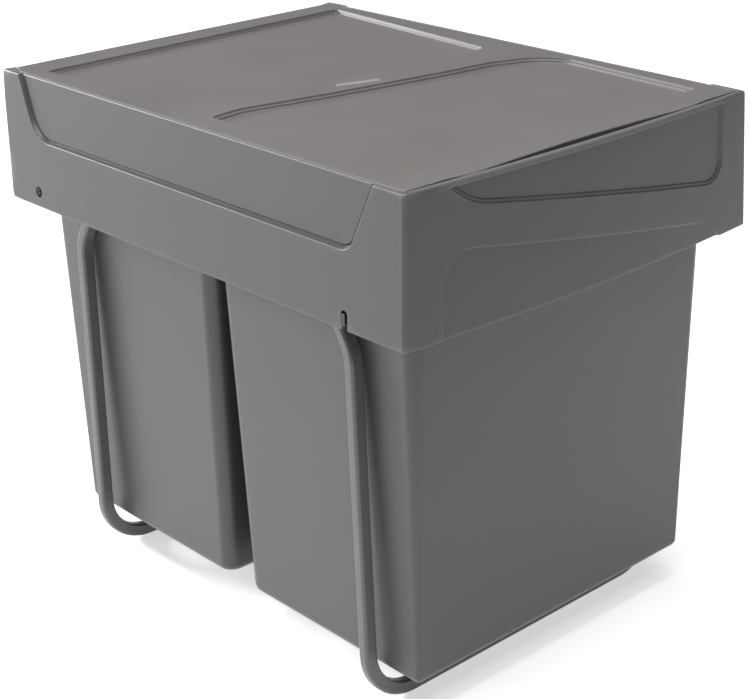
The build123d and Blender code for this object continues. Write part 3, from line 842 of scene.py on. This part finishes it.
lines = [(q, True) for r in LID_RELIEFS for q in r.lines()]
gx, gy = np.meshgrid(np.arange(-180, 181, 15.0), np.arange(-240, 262, 15.0))
grid = np.stack([gx.ravel(), gy.ravel()], 1)
keep = inside(lid_dom, grid)
for r in LID_RELIEFS:
    s = r.signed(grid)
    keep &= ~((s > -3) & (s < r.t[-1] + 3))
keep &= distance(lid_dom, True, grid) > 4
lv, lt = triangulate(lid_dom, [], lines, grid[keep])
ld = lid_depth(lv)
lid = Shell()
lid.add(np.column_stack([lv, Z_TOP - ld]), lt)
lv_in = lv * (1 - 1.9 / 188.0)
lid.add(np.column_stack([lv_in, Z_TOP - 2.6 - ld]), lt[:, ::-1])
for loop in border_loops(lt):
    loop = np.array(loop)
    q = lv[loop]
    tg = unit(np.roll(q, -1, 0) - q)
    tm = unit(tg + np.roll(tg, 1, 0))
    e = np.stack([tm[:, 1], -tm[:, 0]], 1) / np.maximum(0.6, (tm * tg).sum(1))[:, None]
    low = np.where(q[:, 1] < -240, 456.2, 463.3)
    top = Z_TOP - ld[loop]
    rows = [np.column_stack([q, top])]
    for th in (22.5, 45, 67.5, 90):
        a = math.radians(th)
        rows.append(np.column_stack([q + e * EDGE * math.sin(a), top - EDGE * (1 - math.cos(a))]))
    rows.append(np.column_stack([q + e * EDGE, low + 0.4]))
    rows.append(np.column_stack([q + e * (EDGE - 0.12), low + 0.12]))
    rows.append(np.column_stack([q + e * (EDGE - 0.4), low]))
    rows.append(np.column_stack([lv_in[loop], low]))
    rows.append(np.column_stack([lv_in[loop], Z_TOP - 2.6 - ld[loop]]))
    rows_between(lid, rows)


def cylinder_x(shell, y, z, r, x0, x1, n=36, bevel=0.3):
    a = np.arange(n) * 2 * math.pi / n
    ring = lambda x, rr: np.stack([0 * a + x, y + rr * np.cos(a), z + rr * np.sin(a)], 1)
    rows = [ring(x0, r - bevel), ring(x0 + bevel, r), ring(x1 - bevel, r), ring(x1, r - bevel)]
    rows_between(shell, [r_[::-1] for r_ in rows])
    s = shell.add(rows[0], [])
    shell.fa.append([s + i for i in range(n)][::-1])
    s = shell.add(rows[-1], [])
    shell.fa.append([s + i for i in range(n)])


cylinder_x(lid, HINGE_Y, HINGE_Z, HINGE_R, -183.9, 183.9)
# stiffening skirt under the borders, stopping short of the hinge
sk = [(-186.0, 165.0), (-186.0, -241.5), (186.0, -241.5), (186.0, 165.0), (184.2, 165.0), (184.2, -239.7), (-184.2, -239.7), (-184.2, 165.0)]
s = lid.add([(x, y, z) for z in (452.8, 465.0) for x, y in sk], [])
n = len(sk)
lid.fa.append([s + n + i for i in range(n)])
lid.fa.append([s + i for i in range(n)][::-1])
lid.fa.extend([[s + i, s + (i + 1) % n, s + n + (i + 1) % n, s + n + i] for i in range(n)])
lid_ob = lid.make("lid_panel", M_LID, "lid")
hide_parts("lid")

badge = Shell()
rows = []
for half, r, z in ((20.95, 3.95, 466.6), (20.95, 3.95, 467.25), (20.85, 3.85, 467.5), (20.6, 3.6, 467.66), (20.3, 3.3, 467.7)):
    p = slot_loop(half, r)
    rows.append(np.column_stack([p, np.full(len(p), z)]))
rows_between(badge, rows[::-1])
n = len(rows[0])
s = badge.add(rows[-1], [])
badge.fa.append([s + i for i in range(n)])
s = badge.add(rows[0], [])
badge.fa.append([s + i for i in range(n)][::-1])
badge_ob = badge.make("blank_badge", M_BADGE, "lid")
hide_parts("lid_badge")


# ------------------------------------------------------------------ bins
BIN_Z, BIN_NECK = 35.3, 349.3


def bin_mesh(name, yc):
    sh = Shell()
    n = 9
    foot = (3.5, 13.0) if yc < 0 else (13.0, 3.5)     # foot radii of the front and rear corners

    def ring(z, hw, hd, r_f, r_r):
        out = []
        for cx, cy, a0, r in ((1, 1, 0, r_r), (-1, 1, 90, r_r), (-1, -1, 180, r_f), (1, -1, 270, r_f)):
            for k in range(n):
                a = math.radians(a0 + 90 * k / (n - 1))
                out.append((cx * (hw - r) + r * math.cos(a), yc + cy * (hd - r) + r * math.sin(a), z))
        return np.array(out)

    def level(z, inset, less=0.0):
        t = (z - BIN_Z) / (BIN_NECK - BIN_Z)
        return ring(z, 164.5 + 7.0 * t - inset, 109.8 + 8.6 * t - inset,
                    max(0.8, foot[0] + (13 - foot[0]) * t - less), max(0.8, foot[1] + (13 - foot[1]) * t - less))

    rows = [level(37.0, 16.0, 4.0), level(37.0, 12.0, 3.0), level(36.6, 10.6, 2.5), level(35.3, 9.0, 2.0)]
    rb = 8.0
    for th in np.linspace(0, 90, 9):
        a = math.radians(th)
        rows.append(level(35.3 + rb * (1 - math.cos(a)), rb * (1 - math.sin(a)), 1.6 * (1 - math.sin(a))))
    for z in (80.0, 140.0, 200.0, 260.0, 320.0, 349.3):
        rows.append(level(z, 0.0))
    rows.append(ring(432.4, 171.9, 119.1, 13.0, 13.0))
    rows.append(ring(433.3, 172.6, 119.7, 13.5, 13.5))
    for k, z in ((0.0, 433.5), (0.0, 435.6), (0.25, 436.1), (0.7, 436.3)):
        rows.append(ring(z, 178.4 - k, 122.9 - k, 17.0 - k, 17.0 - k))
    rows.append(ring(436.3, 170.6, 118.0, 11.8, 11.8))
    rows.append(ring(435.6, 169.9, 117.3, 11.0, 11.0))
    rows.append(level(349.3, 2.2, 2.0))
    for z in (260.0, 170.0, 90.0, 46.0):
        rows.append(level(z, 2.2, 2.0))
    rows.append(level(41.4, 4.2, 2.4))
    rows.append(level(39.2, 7.4, 2.8))
    rows.append(level(38.6, 10.5, 2.8))
    rows_between(sh, [r_[::-1] for r_ in rows])
    m = 4 * n
    s = sh.add(rows[0], [])
    sh.fa.append([s + i for i in range(m)][::-1])
    s = sh.add(rows[-1], [])
    sh.fa.append([s + i for i in range(m)])
    ob = sh.make(name + "_body", M_BIN, name)
    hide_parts(name)


for name, yc in BIN_Y.items():
    bin_mesh(name, yc)

# ------------------------------------------------------------------ rear screws with a cross recess
screws = Shell()
for s in (-1, 1):
    n = 32
    a = np.arange(n) * 2 * math.pi / n
    rows = []
    for r, x in ((2.0, 194.2), (2.0, 197.5), (3.9, 197.6), (4.05, 197.9), (3.9, 198.4), (3.3, 198.8), (2.4, 199.0), (1.7, 199.05)):
        rows.append(np.stack([0 * a + s * x, SCREW_Y + r * np.cos(a), SCREW_Z + r * np.sin(a)], 1))
    # cross-shaped socket
    cross = 0.55 + 1.05 * np.abs(np.cos(2 * a)) ** 6
    rows.append(np.stack([0 * a + s * 199.05, SCREW_Y + cross * np.cos(a), SCREW_Z + cross * np.sin(a)], 1))
    rows.append(np.stack([0 * a + s * 198.0, SCREW_Y + 0.8 * cross * np.cos(a), SCREW_Z + 0.8 * cross * np.sin(a)], 1))
    rows_between(screws, [r_[::-1] for r_ in rows] if s > 0 else rows)
    k = screws.add(rows[-1], [])
    screws.fa.append([k + i for i in range(n)] if s > 0 else [k + i for i in range(n)][::-1])
    k = screws.add(rows[0], [])
    screws.fa.append([k + i for i in range(n)][::-1] if s > 0 else [k + i for i in range(n)])
screws_ob = screws.make("surround_screws", M_SCREW, "carriage", sharp=35)
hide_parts("rear_screws")

# ------------------------------------------------------------------ floor, light and camera
me = bpy.data.meshes.new("floor")
R = 14.0
me.from_pydata([(-R, -R, -0.0004), (R, -R, -0.0004), (R, R, -0.0004), (-R, R, -0.0004)], [], [(0, 1, 2, 3)])
floor = bpy.data.objects.new("floor", me)
bpy.context.scene.collection.objects.link(floor)
fm, nt, bsdf = nodes_of("floor_white")
bsdf.inputs["Base Color"].default_value = (0.80, 0.80, 0.80, 1)
bsdf.inputs["Roughness"].default_value = 0.9
bsdf.inputs["Specular IOR Level"].default_value = 0.1
bsdf.inputs["Emission Color"].default_value = (1, 1, 1, 1)
bsdf.inputs["Emission Strength"].default_value = 0.58
me.materials.append(fm)

world = bpy.data.worlds.new("studio")
bpy.context.scene.world = world
world.use_nodes = True
wt = world.node_tree
seen = wt.nodes["Background"]
seen.inputs[0].default_value = (1, 1, 1, 1)
seen.inputs[1].default_value = 1.0
fill = wt.nodes.new("ShaderNodeBackground")
fill.inputs[0].default_value = (1, 1, 1, 1)
fill.inputs[1].default_value = 0.06
path = wt.nodes.new("ShaderNodeLightPath")
mix = wt.nodes.new("ShaderNodeMixShader")
wt.links.new(path.outputs["Is Camera Ray"], mix.inputs[0])
wt.links.new(fill.outputs[0], mix.inputs[1])
wt.links.new(seen.outputs[0], mix.inputs[2])
wt.links.new(mix.outputs[0], next(n for n in wt.nodes if n.type == "OUTPUT_WORLD").inputs[0])


def area(name, loc, aim, size, power, colour=(1, 1, 1)):
    d = bpy.data.lights.new(name, "AREA")
    d.shape = "RECTANGLE"
    d.size, d.size_y = size
    d.energy = power
    d.color = colour
    o = bpy.data.objects.new(name, d)
    o.location = loc
    o.rotation_mode = "QUATERNION"
    o.rotation_quaternion = (Vector(aim) - Vector(loc)).to_track_quat("-Z", "Y")
    bpy.context.scene.collection.objects.link(o)
    return o


area("key_left", (-2.25, 5.75, 2.15), (0, 0, 0.3), (1.1, 1.4), 540.0, (0.97, 0.985, 1.0))
area("soft_left", (-2.3, 1.6, 1.4), (0, 0, 0.3), (0.9, 1.0), 11.0, (0.97, 0.985, 1.0))
area("top", (-0.3, -0.05, 2.7), (0, 0.0, 0.4), (1.7, 1.7), 84.0, (1.0, 0.985, 0.975))
area("front_high", (-0.5, -1.7, 2.9), (0, -0.2, 0.4), (1.2, 0.8), 16.0)

FPX, YAW, PITCH, ROLL = 1741.54, -42.66, 22.72, -1.12
POS = (-973.21, -1108.03, 841.17)
PPX, PPY = 36.9, -9.8
cam = bpy.data.cameras.new("camera")
cam_ob = bpy.data.objects.new("camera", cam)
bpy.context.scene.collection.objects.link(cam_ob)
ya, pi_, ro = (math.radians(v) for v in (YAW, PITCH, ROLL))
back = Vector((math.sin(ya) * math.cos(pi_), -math.cos(ya) * math.cos(pi_), math.sin(pi_)))
fwd = -back
right = fwd.cross(Vector((0, 0, 1))).normalized()
up = right.cross(fwd)
c, s = math.cos(ro), math.sin(ro)
right2, up2 = right * c + up * s, up * c - right * s
rot = Matrix((right2, up2, back)).transposed().to_4x4()
cam_ob.matrix_world = Matrix.Translation(Vector(POS) * 0.001) @ rot
cam.sensor_fit = "HORIZONTAL"
cam.sensor_width = 36.0
cam.lens = FPX * 36.0 / 748.0
cam.shift_x = -PPX / 748.0
cam.shift_y = PPY / 748.0
cam.clip_start, cam.clip_end = 0.05, 60.0
bpy.context.scene.camera = cam_ob
bpy.context.scene.view_settings.view_transform = "Standard"
